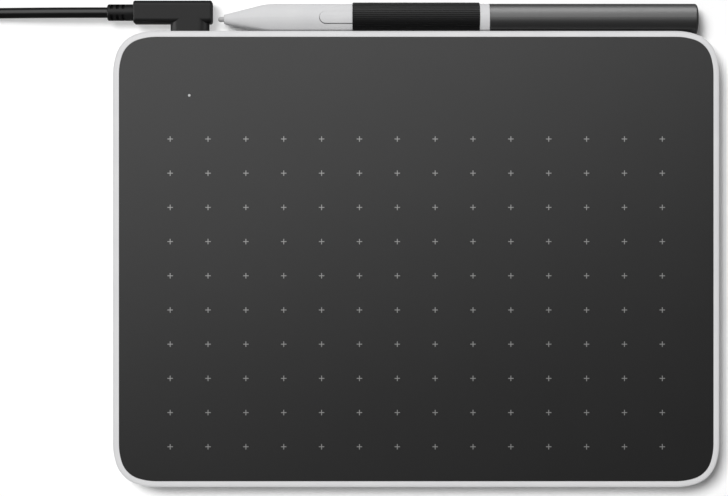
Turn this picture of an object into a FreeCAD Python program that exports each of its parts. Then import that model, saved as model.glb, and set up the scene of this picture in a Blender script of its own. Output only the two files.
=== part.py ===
import FreeCAD, Part
import math
import os

os.makedirs("parts", exist_ok=True)
V = FreeCAD.Vector
ALONG_X = V(1, 0, 0)
ALONG_Y = V(0, 1, 0)
ALONG_Z = V(0, 0, 1)

# Driving dimensions of the tablet, in millimetres. The tablet's middle is at x 0, y 0 and the desk at z 0.
tablet_width = 187.5
tablet_depth = 141.1
corner_big_r = 20.2
corner_small_r = 9.7
corner_side_deg = 17.8
foot_height = 0.8
floor_thickness = 1.4
rim_width = 1.9
rim_top = 9.65
rim_widest = 8.8
sheet_thickness = 0.3
plate_thickness = 1.2
board_thickness = 1.0
shield_thickness = 0.3
edge_gap = 0.1
grid_columns = 14
grid_rows = 10
grid_side_margin = 17.765
grid_front_margin = 12.58
grid_back_margin = 33.48
led_from_side = 23.65
led_from_back = 20.0
port_from_side = 23.45
port_z = 4.6
button_from_back = 20.55

# Driving dimensions of the pen and its loop
pen_r = 4.85
pen_length = 149.2
nib_to_plug = 1.8
pen_roll_deg = 3.0
front_case_end = 84.3
loop_length = 39.4
loop_thickness = 0.29
loop_gap = 0.08
loop_to_rim = 0.091
loop_to_desk = 0.03

# Driving dimensions of the lead
cable_r = 1.65
plug_from_back = 2.65
plug_depth = 7.05
plug_length = 24.4
plug_past_port = 6.95
plug_height = 6.5
relief_length = 8.2
relief_r = 2.55
coil_gap = 0.5
coil_outer_r = 26.5
coil_turns_in = 3.5
coil_turns_out = 3.25

# Small clearances
print_height = 0.03
fit = 0.08
slack = 0.3

# Heights that follow from the stack
floor_top = foot_height + floor_thickness
sheet_top = rim_top + 0.15
plate_top = sheet_top - sheet_thickness
ledge_z = plate_top - plate_thickness
board_bottom = ledge_z - board_thickness
rib_top = board_bottom - shield_thickness
half_width = tablet_width / 2
half_depth = tablet_depth / 2
loop_bore_r = pen_r + loop_gap
loop_outer_r = loop_bore_r + loop_thickness

coil_pitch = 2 * cable_r + coil_gap

# Places along the tablet's edges
grid_pitch_x = (tablet_width - 2 * grid_side_margin) / (grid_columns - 1)
grid_pitch_y = (tablet_depth - grid_front_margin - grid_back_margin) / (grid_rows - 1)
led_x = led_from_side - half_width
led_y = half_depth - led_from_back
port_x = port_from_side - half_width
button_y = half_depth - button_from_back
plug_x1 = port_x + plug_past_port
plug_x0 = plug_x1 - plug_length
plug_y0 = half_depth + plug_from_back
plug_y1 = plug_y0 + plug_depth
pen_nib_x = plug_x1 + nib_to_plug


def put(name, shape):
    """Writes one node, moved to the centred frame."""
    moved = shape.copy()
    moved.translate(V(0, -origin_y, 0))
    moved.exportStep("parts/" + name + ".step")
    print(name, "solids", len(moved.Solids), "volume", round(moved.Volume, 1), "valid", moved.isValid())


def box(x0, x1, y0, y1, z0, z1):
    return Part.makeBox(x1 - x0, y1 - y0, z1 - z0, V(x0, y0, z0))


def post(x, y, z0, z1, r):
    return Part.makeCylinder(r, z1 - z0, V(x, y, z0))


def joined(shapes):
    first = shapes[0]
    return first.multiFuse(shapes[1:]).removeSplitter() if len(shapes) > 1 else first


def prism(points, z0, z1):
    """An upright prism on a closed outline of (x, y) points."""
    corners = [V(x, y, z0) for x, y in points]
    return Part.Face(Part.makePolygon(corners + corners[:1])).extrude(V(0, 0, z1 - z0))


def flat_stadium(x, y, length, width, z0, z1):
    """A lying stadium along X with its thickness upright."""
    reach = (length - width) / 2
    r = width / 2
    body = box(x - reach, x + reach, y - r, y + r, z0, z1)
    return joined([body, post(x - reach, y, z0, z1, r), post(x + reach, y, z0, z1, r)])


def slot_along_y(x, z, width, height, y0, y1):
    """A stadium section of this width and height, drawn out from y0 to y1."""
    r = height / 2
    left = V(x - width / 2 + r, y0, z)
    right = V(x + width / 2 - r, y0, z)
    up = ALONG_Z * r
    edges = [
        Part.LineSegment(left + up, right + up).toShape(),
        Part.Arc(right + up, right + ALONG_X * r, right - up).toShape(),
        Part.LineSegment(right - up, left - up).toShape(),
        Part.Arc(left - up, left - ALONG_X * r, left + up).toShape(),
    ]
    return Part.Face(Part.Wire(edges)).extrude(V(0, y1 - y0, 0))


def edges_along(shape, direction):
    """The straight edges of a shape that run along a direction."""
    found = []
    for edge in shape.Edges:
        ends = [v.Point for v in edge.Vertexes]
        if len(ends) == 2 and isinstance(edge.Curve, Part.Line):
            if (ends[1] - ends[0]).normalize().cross(direction).Length < 1e-6:
                found.append(edge)
    return found


# Outline of the tablet: every ring shares its corner centres and differs only in its inset

def corner_arcs(inset, z):
    """The +X +Y corner's three tangent arcs, each as start, middle and end, from the side to the back."""
    turn = math.radians(corner_side_deg)
    step = corner_big_r - corner_small_r
    tangent = corner_big_r - step * (math.cos(turn) - math.sin(turn))
    side_centre = V(half_width - corner_big_r, half_depth - tangent, z)
    small_centre = side_centre + V(math.cos(turn), math.sin(turn), 0) * step
    back_centre = V(half_width - tangent, half_depth - corner_big_r, z)
    spans = (
        (side_centre, corner_big_r, 0, turn),
        (small_centre, corner_small_r, turn, math.pi / 2 - turn),
        (back_centre, corner_big_r, math.pi / 2 - turn, math.pi / 2),
    )
    return [
        [centre + V(math.cos(a), math.sin(a), 0) * (r - inset) for a in (start, (start + end) / 2, end)]
        for centre, r, start, end in spans
    ]


def ring(inset, z):
    """The tablet's outline at one height, drawn in by the inset."""
    arcs = []
    for sx, sy in ((1, 1), (-1, 1), (-1, -1), (1, -1)):
        corner = [[V(sx * p.x, sy * p.y, p.z) for p in arc] for arc in corner_arcs(inset, z)]
        if sx * sy < 0:
            corner = [arc[::-1] for arc in reversed(corner)]
        arcs += corner
    edges = []
    for before, after in zip(arcs[-1:] + arcs[:-1], arcs):
        if (before[2] - after[0]).Length > 0.01:
            edges.append(Part.LineSegment(before[2], after[0]).toShape())
        edges.append(Part.Arc(*after).toShape())
    return Part.Wire(edges)


def ringed(profile):
    """A solid through rings at (inset, height) pairs, from the bottom up."""
    return Part.makeLoft([ring(inset, z) for inset, z in profile], True, True)


def plate(inset, z0, z1):
    return Part.Face(ring(inset, z0)).extrude(V(0, 0, z1 - z0))


# The rim's outer side curves in under its widest line, so that the pen can lie against it
outer_side = (
    (7.2, foot_height),
    (5.4, foot_height + 0.35),
    (4.2, foot_height + 1.4),
    (2.9, rim_widest - 4.2),
    (1.9, rim_widest - 1.9),
    (0.45, rim_widest - 0.45),
    (0.0, rim_widest),
    (0.12, rim_widest + 0.3),
    (0.55, rim_top - 0.25),
    (1.3, rim_top - 0.05),
    (rim_width, rim_top),
)
ledge_inset = 3.4
floor_inset = 5.8
inner_knee = ledge_z - 1.3
inner_side = ((floor_inset, floor_top), (ledge_inset, inner_knee), (ledge_inset, ledge_z))

# The loop rests just above the desk and against the rim, and everything is centred front to back with it
pen_z = loop_outer_r + loop_to_desk
loop_reach = loop_outer_r + loop_to_rim
pen_from_back = max(
    math.sqrt(loop_reach ** 2 - (z - pen_z) ** 2) - inset
    for inset, z in outer_side if abs(z - pen_z) < loop_reach
)
pen_y = half_depth + pen_from_back
origin_y = (pen_y + loop_outer_r - half_depth) / 2

# Feet, screws and boards
foot_from_side = 13.75
foot_from_front = 13.55
foot_from_back = 14.55
foot_x = half_width - foot_from_side
foot_front_y = foot_from_front - half_depth
foot_back_y = half_depth - foot_from_back
foot_places = [(x, y) for x in (-foot_x, foot_x) for y in (foot_front_y, foot_back_y)]
foot_length = 12.0
foot_width = 7.0
foot_recess = 0.4
boss_r = 3.5
boss_height = 2.0
boss_top = floor_top + boss_height
screw_head_r = 2.0
screw_head_height = 1.4
screw_head_top = floor_top + 0.6
screw_r = 1.0
screw_top = ledge_z - 0.7
plate_boss_r = 3.0
sensor_from_side = 14.75
sensor_from_front = 8.55
sensor_from_back = 29.05
sensor_x = half_width - sensor_from_side
sensor_y0 = sensor_from_front - half_depth
sensor_y1 = half_depth - sensor_from_back
shield_y1 = sensor_y1 - 3.5
rib_columns = 6
rib_rows = 5
rib_thickness = 1.0
standoff_height = 1.0
standoff_r = 2.0
main_board_length = 50.0
main_board_z = floor_top + standoff_height
main_board_top = main_board_z + board_thickness
main_board_x1 = port_x + main_board_length
main_board_y0 = sensor_y1 - 3.3
main_board_from_back = 6.3
main_board_y1 = half_depth - main_board_from_back
board_screw_inset = 3.8
board_screw_past_port = 11.5
board_screw_middle = 20.0
board_screw_from_end = 7.0
board_screws = (
    (port_x + board_screw_middle, main_board_y0 + board_screw_inset),
    (main_board_x1 - board_screw_from_end, main_board_y1 - board_screw_inset),
    (port_x + board_screw_past_port, main_board_y1 - board_screw_inset),
)
board_screw_r = 0.8
board_screw_head_r = 1.6
board_screw_head_height = 0.8
chip_gap = 1.5
controller_past_port = 30.0
controller_x = port_x + controller_past_port
charger_past_port = 12.0
controller_size = (8.0, 8.0, 0.9)
charger_size = (4.0, 4.0, 0.8)
radio_size = (15.0, 7.0, 1.8)
radio_y = main_board_y1 - chip_gap / 2 - radio_size[1] / 2
controller_y = radio_y - radio_size[1] / 2 - chip_gap - controller_size[1] / 2
flex_x = port_x + 16.0
flex_width = 8.0
flex_thickness = 0.2
flex_connector_y = main_board_y0 + 8.0
flex_connector_size = (10.0, 3.4, 1.4)
battery_from_foot = 22.0
battery_width = 21.0
battery_thickness = 4.0
battery_x0 = main_board_x1 + 8.0
battery_x1 = foot_x - battery_from_foot
battery_y0 = main_board_y0 + 1.3
battery_plug_size = (5.0, 6.0, 2.6)
battery_plug_x1 = main_board_x1 - 1.0
lead_y = battery_y0 + 9.5
lead_z = main_board_top + battery_plug_size[2] / 2
lead_pitch = 2.0
lead_r = 0.5

# Port, loop, button and light
recess_depth = 3.95
recess_floor_y = half_depth - recess_depth
recess_width = 13.1
recess_half_height = plug_height / 2 + slack
port_wall = 1.9
port_pad_side = 2.45
receptacle_width = 8.94
receptacle_height = 3.26
receptacle_mouth_width = 8.34
receptacle_mouth_height = 2.56
receptacle_length = 7.7
receptacle_back = 0.6
loop_tab_half = 0.36
anchor_from_back = 5.2
anchor_depth = 2.4
anchor_y1 = half_depth - anchor_from_back
anchor_y0 = anchor_y1 - anchor_depth
anchor_half_height = 1.35
anchor_foot_inset = 6.7
anchor_foot_x = loop_length / 2 - anchor_foot_inset
button_half_length = 3.4
button_half_height = 0.9
button_z = ledge_z - 1.5
button_travel = 0.3
button_step = 0.2
button_wall = 3.7
button_pad_side = 2.6
flange_thickness = 0.8
flange_margin = 0.8
led_r = 0.38


def spread(first, last, count):
    """Evenly spaced values from first to last."""
    return [first + (last - first) * k / (count - 1) for k in range(count)]


def chip(x, y, size):
    """A block of this length, width and height on the main board, centred on x and y."""
    length, width, height = size
    return box(
        x - length / 2, x + length / 2, y - width / 2, y + width / 2,
        main_board_top, main_board_top + height,
    )


def stiffening_ribs():
    """The grid of ribs that carries the shield plate and the sensor board."""
    half = rib_thickness / 2
    reach = sensor_x - 2.0
    xs = spread(2.0 - reach, reach - 2.0, rib_columns)
    ys = spread(sensor_y0 + 2.5, shield_y1 - 1.5, rib_rows)
    ribs = [box(x - half, x + half, ys[0], ys[-1], floor_top, rib_top) for x in xs]
    return ribs + [box(-reach, reach, y - half, y + half, floor_top, rib_top) for y in ys]


def back_cover():
    outside = ringed(outer_side)
    shell = outside.cut(ringed(inner_side)).cut(plate(rim_width, ledge_z, rim_top + 1))
    pad_half = recess_width / 2 + port_pad_side
    port_pad = box(
        port_x - pad_half, port_x + pad_half, recess_floor_y - port_wall, half_depth, floor_top, ledge_z
    )
    button_pad_half = button_half_length + button_pad_side
    button_pad = box(
        -half_width, button_wall - half_width, button_y - button_pad_half, button_y + button_pad_half,
        floor_top, ledge_z,
    )
    pads = [pad.common(outside) for pad in (port_pad, button_pad)]
    bosses = [post(x, y, foot_height + foot_recess, boss_top, boss_r) for x, y in foot_places]
    standoffs = [post(x, y, floor_top, main_board_z, standoff_r) for x, y in board_screws]
    anchor_feet = [
        box(x - 1, x + 1, anchor_y0 - 1.5, anchor_y1, floor_top, pen_z - anchor_half_height)
        for x in (-anchor_foot_x, anchor_foot_x)
    ]
    cover = joined([shell] + pads + bosses + standoffs + anchor_feet + stiffening_ribs())

    cuts = []
    for x, y in foot_places:
        foot_cut = foot_height + foot_recess
        cuts.append(flat_stadium(x, y, foot_length + 0.2, foot_width + 0.2, foot_height - 1, foot_cut))
        cuts.append(post(x, y, foot_height, screw_head_top, screw_head_r + slack))
        cuts.append(post(x, y, foot_height, boss_top + 1, screw_r + fit))
    for x, y in board_screws:
        cuts.append(post(x, y, floor_top - 0.8, main_board_z + 1, board_screw_r + 0.03))
    recess = slot_along_y(
        port_x, port_z, recess_width, 2 * recess_half_height, recess_floor_y, half_depth + 5
    )
    socket_hole = slot_along_y(
        port_x, port_z, receptacle_width + 2 * edge_gap, receptacle_height + 2 * edge_gap,
        recess_floor_y - receptacle_length, half_depth,
    )
    loop_slot = box(
        -loop_length / 2 - 0.2, loop_length / 2 + 0.2, anchor_y1, half_depth,
        pen_z - loop_tab_half - 0.1, pen_z + loop_tab_half + 0.1,
    )
    button_hole = box(
        -half_width - 1, button_wall - half_width + 1,
        button_y - button_half_length - edge_gap, button_y + button_half_length + edge_gap,
        button_z - button_half_height - edge_gap, button_z + button_half_height + edge_gap,
    )
    button_room = box(
        button_wall - half_width, button_wall - half_width + 3,
        button_y - button_half_length - 2 * flange_margin, button_y + button_half_length + 2 * flange_margin,
        button_z - 1.5, ledge_z,
    )
    return cover.cut(Part.makeCompound(cuts)).cut(recess).cut(socket_hole).cut(loop_slot).cut(
        button_hole
    ).cut(button_room)


def top_plate():
    flat = plate(rim_width + edge_gap, ledge_z, plate_top)
    bosses = [post(x, y, boss_top, ledge_z + 0.5, plate_boss_r) for x, y in foot_places]
    pilots = [post(x, y, boss_top - 1, screw_top + 0.3, screw_r + 0.05) for x, y in foot_places]
    led_hole = post(led_x, led_y, ledge_z - 1, plate_top + 1, led_r + 0.05)
    return joined([flat] + bosses).cut(Part.makeCompound(pilots)).cut(led_hole)


def surface_sheet():
    sheet = plate(rim_width + edge_gap, plate_top, sheet_top)
    return sheet.cut(post(led_x, led_y, plate_top - 1, sheet_top + 1, led_r + 0.05))


def grid_marks():
    """Printed crosses at every grid point of the drawing area."""
    arm = 0.85
    half_stroke = 0.125
    outline = [
        (arm, half_stroke), (half_stroke, half_stroke), (half_stroke, arm), (-half_stroke, arm),
        (-half_stroke, half_stroke), (-arm, half_stroke), (-arm, -half_stroke),
        (-half_stroke, -half_stroke), (-half_stroke, -arm), (half_stroke, -arm),
        (half_stroke, -half_stroke), (arm, -half_stroke),
    ]
    cross = prism(outline, sheet_top, sheet_top + print_height)
    marks = []
    for column in range(grid_columns):
        for row in range(grid_rows):
            x = grid_side_margin - half_width + column * grid_pitch_x
            y = grid_front_margin - half_depth + row * grid_pitch_y
            mark = cross.copy()
            mark.translate(V(x, y, 0))
            marks.append(mark)
    return Part.makeCompound(marks)


def notched_sheet(y1, z0, z1):
    """A sheet under the drawing area, notched round the front screw bosses."""
    sheet = box(-sensor_x, sensor_x, sensor_y0, y1, z0, z1)
    notches = [post(x, foot_front_y, z0 - 1, z1 + 1, boss_r + 0.5) for x in (-foot_x, foot_x)]
    return sheet.cut(Part.makeCompound(notches))


def main_board():
    blank = plate(floor_inset - 0.1, main_board_z, main_board_top)
    area = box(-half_width, main_board_x1, main_board_y0, main_board_y1, main_board_z, main_board_top)
    board = blank.common(area)
    cuts = [post(x, y, main_board_z - 1, main_board_top + 1, board_screw_r + 0.1) for x, y in board_screws]
    cuts.append(post(-foot_x, foot_back_y, main_board_z - 1, main_board_top + 1, boss_r + 0.5))
    notch = receptacle_width / 2 + 0.1
    cuts.append(
        box(
            port_x - notch, port_x + notch, recess_floor_y - receptacle_length - 0.1, half_depth,
            main_board_z - 1, main_board_top + 1,
        )
    )
    return board.cut(Part.makeCompound(cuts))


def receptacle_shell():
    y1 = recess_floor_y
    y0 = y1 - receptacle_length
    outside = slot_along_y(port_x, port_z, receptacle_width, receptacle_height, y0, y1)
    inside = slot_along_y(
        port_x, port_z, receptacle_mouth_width, receptacle_mouth_height, y0 + receptacle_back, y1 + 1
    )
    wings = []
    for side in (-1, 1):
        near = port_x + side * (receptacle_width / 2 - 0.3)
        far = port_x + side * (receptacle_width / 2 + 1.2)
        wings.append(
            box(min(near, far), max(near, far), y0 + 1, y0 + 4, main_board_top, main_board_top + 0.3)
        )
    return joined([outside] + wings).cut(inside)


def receptacle_tongue():
    y0 = recess_floor_y - receptacle_length + receptacle_back
    root = box(port_x - 3.4, port_x + 3.4, y0, y0 + 0.5, port_z - 1.1, port_z + 1.1)
    blade = box(port_x - 3.2, port_x + 3.2, y0, recess_floor_y - 1.0, port_z - 0.35, port_z + 0.35)
    return joined([root, blade])


def loop_ring_and_tab():
    """The elastic loop: a round sleeve for the pen whose two layers run into the tablet's back wall."""
    x0 = -loop_length / 2
    sleeve = Part.makeCylinder(loop_outer_r, loop_length, V(x0, pen_y, pen_z), ALONG_X)
    tab = box(
        x0, -x0, anchor_y0 + 0.6, pen_y - loop_bore_r,
        pen_z - loop_tab_half, pen_z + loop_tab_half,
    )
    bore = Part.makeCylinder(loop_bore_r, loop_length + 2, V(x0 - 1, pen_y, pen_z), ALONG_X)
    return joined([sleeve, tab]).cut(bore)


def loop_anchor():
    x1 = loop_length / 2
    bar = box(-x1, x1, anchor_y0, anchor_y1, pen_z - anchor_half_height, pen_z + anchor_half_height)
    return bar.cut(
        box(-x1 - 1, x1 + 1, anchor_y0 + 0.6, anchor_y1 + 1, pen_z - loop_tab_half, pen_z + loop_tab_half)
    )


def phillips(x, y, z, size):
    """A cross-shaped drive recess, cut upwards from z."""
    return joined(
        [
            box(x - size, x + size, y - size / 4, y + size / 4, z - 0.1, z + size / 2),
            box(x - size / 4, x + size / 4, y - size, y + size, z - 0.1, z + size / 2),
        ]
    )


def case_screws():
    screws = []
    for x, y in foot_places:
        head = post(x, y, screw_head_top - screw_head_height, screw_head_top, screw_head_r)
        shank = post(x, y, screw_head_top, screw_top, screw_r)
        screws.append(joined([head, shank]).cut(phillips(x, y, screw_head_top - screw_head_height, 1.2)))
    return Part.makeCompound(screws)


def main_board_screws():
    screws = []
    for x, y in board_screws:
        head_top = main_board_top + board_screw_head_height
        head = post(x, y, main_board_top, head_top, board_screw_head_r)
        shank = post(x, y, floor_top - 0.5, main_board_top, board_screw_r)
        slot = phillips(x, y, head_top - 0.3, 0.9)
        screws.append(joined([head, shank]).cut(slot))
    return Part.makeCompound(screws)


def rubber_feet():
    return Part.makeCompound(
        [flat_stadium(x, y, foot_length, foot_width, 0, foot_height + foot_recess) for x, y in foot_places]
    )


def power_button():
    x_wall = button_wall - half_width
    cap = box(
        -half_width - button_step, x_wall, button_y - button_half_length, button_y + button_half_length,
        button_z - button_half_height, button_z + button_half_height,
    )
    front = [e for e in cap.Edges if max(v.X for v in e.Vertexes) < -half_width]
    cap = cap.makeFillet(0.35, front)
    reach = button_half_length + flange_margin
    flange = box(
        x_wall, x_wall + flange_thickness, button_y - reach, button_y + reach, button_z - 1.3, button_z + 1.3
    )
    return joined([cap, flange])


def button_switch():
    x_front = button_wall - half_width + flange_thickness + button_travel + 0.05
    plunger = box(x_front, x_front + 0.7, button_y - 1.2, button_y + 1.2, button_z - 0.7, button_z + 0.7)
    body = box(x_front + 0.6, x_front + 4.0, button_y - 3, button_y + 3, main_board_top, ledge_z - 0.3)
    return joined([plunger, body])


def light_guide():
    rod = post(led_x, led_y, main_board_top + 1.1, sheet_top, led_r)
    base = post(led_x, led_y, main_board_top + 0.9, main_board_top + 1.6, 1.1)
    collar = post(led_x, led_y, ledge_z - 1.0, ledge_z, 1.1)
    return joined([rod, base, collar])


def lead_places():
    """Where the battery's two leads lie along Y."""
    return (lead_y - lead_pitch / 2, lead_y + lead_pitch / 2)


def battery_plug():
    body = chip(battery_plug_x1 - battery_plug_size[0] / 2, lead_y, battery_plug_size)
    wire_holes = [
        Part.makeCylinder(lead_r + 0.05, 2.0, V(battery_plug_x1 - 1.5, y, lead_z), ALONG_X)
        for y in lead_places()
    ]
    return body.cut(Part.makeCompound(wire_holes))


# Routes: straight runs joined by tangent arcs

def tangent_route(points, name):
    """A wire of straight runs and tangent arcs through a list of corner points."""
    edges = []
    at = points[0]
    radii = []
    for before, corner, after in zip(points, points[1:], points[2:]):
        run_in = corner - before
        run_out = after - corner
        turn = run_in.getAngle(run_out)
        radius = 0.45 * min(run_in.Length, run_out.Length) / math.tan(turn / 2)
        reach = radius * math.tan(turn / 2)
        toward = V(run_out).normalize()
        back = V(run_in).normalize() * -1
        start = corner + back * reach
        end = corner + toward * reach
        bisector = (back + toward).normalize()
        middle = corner + bisector * (radius / math.cos(turn / 2) - radius)
        edges.append(Part.LineSegment(at, start).toShape())
        edges.append(Part.Arc(start, middle, end).toShape())
        at = end
        radii.append(round(radius, 1))
    edges.append(Part.LineSegment(at, points[-1]).toShape())
    wire = Part.Wire(edges)
    print(name, "bend radii", radii, "length", round(wire.Length, 1))
    return wire


def tube_on(wire, r):
    """A round tube along a wire."""
    start = wire.Edges[0]
    direction = start.tangentAt(start.FirstParameter)
    circle = Part.Wire(Part.Circle(start.valueAt(start.FirstParameter), direction, r).toShape())
    tube = wire.makePipeShell([circle], True, False)
    solid = Part.Solid(tube) if tube.ShapeType == "Shell" else tube
    print("volume against section times length", round(solid.Volume / (math.pi * r * r * wire.Length), 4))
    return solid


def sensor_flex():
    """The flat flex from the sensor board down to its connector on the main board."""
    half = flex_thickness / 2
    z_top = board_bottom - half
    z_low = main_board_top + 0.7
    start_y = shield_y1 + 1.0
    bend_y = flex_connector_y - 1.8
    points = [
        V(flex_x, start_y, z_top),
        V(flex_x, bend_y, z_top),
        V(flex_x, bend_y, z_low),
        V(flex_x, flex_connector_y + 1.3, z_low),
    ]
    wire = tangent_route(points, "sensor_flex")
    corners = [
        V(flex_x + side * flex_width / 2, start_y, z_top + up * half)
        for side, up in ((-1, -1), (1, -1), (1, 1), (-1, 1))
    ]
    section = Part.makePolygon(corners + corners[:1])
    return wire.makePipeShell([section], True, False)


def flex_connector():
    body = chip(flex_x, flex_connector_y + flex_connector_size[1] / 2, flex_connector_size)
    mouth = box(
        flex_x - flex_width / 2 - edge_gap, flex_x + flex_width / 2 + edge_gap,
        flex_connector_y - 1, flex_connector_y + 1.3,
        main_board_top + 0.7 - flex_thickness / 2, main_board_top + 0.7 + flex_thickness / 2,
    )
    return body.cut(mouth)


def battery_leads():
    x0 = battery_plug_x1 - 1.4
    tubes = []
    for y in lead_places():
        points = [
            V(x0, y, lead_z),
            V(x0 + 3.9, y, lead_z),
            V(battery_x0 - 2.6, y, lead_z - 0.6),
            V(battery_x0, y, lead_z - 0.6),
        ]
        tubes.append(tube_on(tangent_route(points, "battery_lead"), lead_r))
    return Part.makeCompound(tubes)


def battery_cell():
    return box(
        battery_x0, battery_x1, battery_y0, battery_y0 + battery_width,
        floor_top, floor_top + battery_thickness,
    )


# The pen is built along X from its nib's tip, with its switch upwards, then rolled and moved into its loop

def in_pen(shape):
    placed = shape.copy()
    placed.rotate(V(0, 0, 0), ALONG_X, -pen_roll_deg)
    placed.translate(V(pen_nib_x, pen_y, pen_z))
    return placed


def turned(points):
    """A body of revolution about X from a closed outline of (position, radius) points."""
    corners = [V(s, 0, r) for s, r in points]
    return Part.Face(Part.makePolygon(corners + corners[:1])).revolve(V(0, 0, 0), ALONG_X, 360)


def rod(s0, s1, r):
    return Part.makeCylinder(r, s1 - s0, V(s0, 0, 0), ALONG_X)


def tube(s0, s1, inner_r, outer_r):
    return rod(s0, s1, outer_r).cut(rod(s0 - 1, s1 + 1, inner_r))


pen_wall = 1.0
pen_bore_r = pen_r - pen_wall
chassis_r = pen_bore_r - fit
chassis_wall = 0.97
nib_r = 0.8
nib_length = 22.5
nose_start = 1.87
nose_face_r = 1.1
cone_start = 2.25
cone_start_r = 1.56
cone_deg = 14.2
nose_blend_r = 19.7
barrel_end_wall = 4.0
barrel_bore_end = pen_length - barrel_end_wall
switch_start = 31.75
switch_length = 25.8
switch_width = 3.7
switch_gap = 0.15
switch_set_back = 0.1
switch_pivot = switch_start + switch_length / 2
switch_sink = 0.16
switch_crest_r = pen_r - switch_sink
switch_end_drop = 0.3
switch_floor = pen_r - 1.45
switch_opening_floor = 1.5
pivot_z = pen_r - 2.55
pivot_r = 0.5
key_offset = 8.0
key_height = 1.5
key_gap = 0.35
pen_board_half_width = 2.8
pen_board_thickness = 0.8
pen_board_bottom = -0.45
pen_board_top = pen_board_bottom + pen_board_thickness
chassis_end = barrel_bore_end - 6.5
chassis_tail = 31.0
pen_board_end = chassis_end - chassis_tail
ferrite_start = 7.5
ferrite_end = 19.5
ferrite_r = 1.6
coil_wind_r = 2.05
coil_wind_start = ferrite_start + 2.0
coil_wind_end = ferrite_end - 2.5
chassis_start = ferrite_end - 1.6
holder_start = ferrite_end + 0.7
holder_end = nib_length + 4.0
holder_r = 1.6
sensor_start = holder_end + 0.6
sensor_end = sensor_start + 3.9
sensor_r = 3.0
pen_board_start = sensor_end + 1.0


def nose_outline():
    """Edges of the front case's outer line: rounded nose, cone, blend arc and straight side."""
    slope = math.radians(cone_deg)
    blend_rise = nose_blend_r * (1 - math.cos(slope))
    cone_length = (pen_r - blend_rise - cone_start_r) / math.tan(slope)
    blend_start = cone_start + cone_length
    blend_end = blend_start + nose_blend_r * math.sin(slope)
    middle = V(
        blend_end - nose_blend_r * math.sin(slope / 2), 0, pen_r - nose_blend_r * (1 - math.cos(slope / 2))
    )
    nose_front = V(nose_start, 0, nose_face_r)
    cone_foot = V(cone_start, 0, cone_start_r)
    nose_middle = V(nose_start + 0.1, 0, cone_start_r - 0.14)
    cone_head = V(blend_start, 0, pen_r - blend_rise)
    side_start = V(blend_end, 0, pen_r)
    edges = [
        Part.Arc(nose_front, nose_middle, cone_foot).toShape(),
        Part.LineSegment(cone_foot, cone_head).toShape(),
        Part.Arc(cone_head, middle, side_start).toShape(),
        Part.LineSegment(side_start, V(front_case_end, 0, pen_r)).toShape(),
    ]
    return edges, blend_end


def front_case():
    outer_edges, blend_end = nose_outline()
    slope = math.tan(math.radians(cone_deg))
    bore = nib_r + fit
    cone_in_start = cone_start + 2.0
    cone_in_end = cone_in_start + (pen_bore_r - bore) / slope
    inner = [
        V(front_case_end, 0, pen_r),
        V(front_case_end, 0, pen_bore_r),
        V(cone_in_end, 0, pen_bore_r),
        V(cone_in_start, 0, bore),
        V(nose_start, 0, bore),
        V(nose_start, 0, nose_face_r),
    ]
    edges = outer_edges + [Part.LineSegment(a, b).toShape() for a, b in zip(inner, inner[1:])]
    body = Part.Face(Part.Wire(edges)).revolve(V(0, 0, 0), ALONG_X, 360)
    opening = flat_stadium(
        switch_pivot, -switch_set_back, switch_length + 2 * switch_gap, switch_width + 2 * switch_gap,
        switch_opening_floor, pen_r + 1,
    )
    return body.cut(opening)


def rear_barrel():
    """The dark rear half of the pen's case, with a closed, slightly domed end."""
    start = front_case_end + edge_gap
    edge_round = 0.8
    dome = 0.35
    end = pen_length - dome
    outer = [V(start, 0, pen_bore_r), V(start, 0, pen_r), V(end - edge_round, 0, pen_r)]
    inset = edge_round * (1 - math.sqrt(0.5))
    round_middle = V(end - inset, 0, pen_r - inset)
    cap_r = pen_r - edge_round
    round_end = V(end, 0, cap_r)
    sphere_r = (cap_r ** 2 + dome ** 2) / (2 * dome)
    half_angle = math.asin(cap_r / sphere_r) / 2
    dome_middle = V(
        pen_length - sphere_r * (1 - math.cos(half_angle)), 0, sphere_r * math.sin(half_angle)
    )
    tip = V(pen_length, 0, 0)
    bore_end = V(barrel_bore_end, 0, 0)
    edges = [Part.LineSegment(a, b).toShape() for a, b in zip(outer, outer[1:])]
    edges.append(Part.Arc(outer[-1], round_middle, round_end).toShape())
    edges.append(Part.Arc(round_end, dome_middle, tip).toShape())
    edges.append(Part.LineSegment(tip, bore_end).toShape())
    edges.append(Part.LineSegment(bore_end, V(barrel_bore_end, 0, pen_bore_r)).toShape())
    edges.append(Part.LineSegment(V(barrel_bore_end, 0, pen_bore_r), outer[0]).toShape())
    return Part.Face(Part.Wire(edges)).revolve(V(0, 0, 0), ALONG_X, 360)


def nib():
    """The plastic nib: a thin rod with a rounded tip."""
    middle = V(nib_r * (1 - math.sqrt(0.5)), 0, nib_r * math.sqrt(0.5))
    corners = [V(nib_r, 0, nib_r), V(nib_length, 0, nib_r), V(nib_length, 0, 0), V(0, 0, 0)]
    edges = [Part.Arc(corners[-1], middle, corners[0]).toShape()]
    edges += [Part.LineSegment(a, b).toShape() for a, b in zip(corners, corners[1:])]
    return Part.Face(Part.Wire(edges)).revolve(V(0, 0, 0), ALONG_X, 360)


def nib_holder():
    socket = rod(holder_start - 1, nib_length, nib_r + 0.02)
    return rod(holder_start, holder_end, holder_r).cut(socket)


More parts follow.
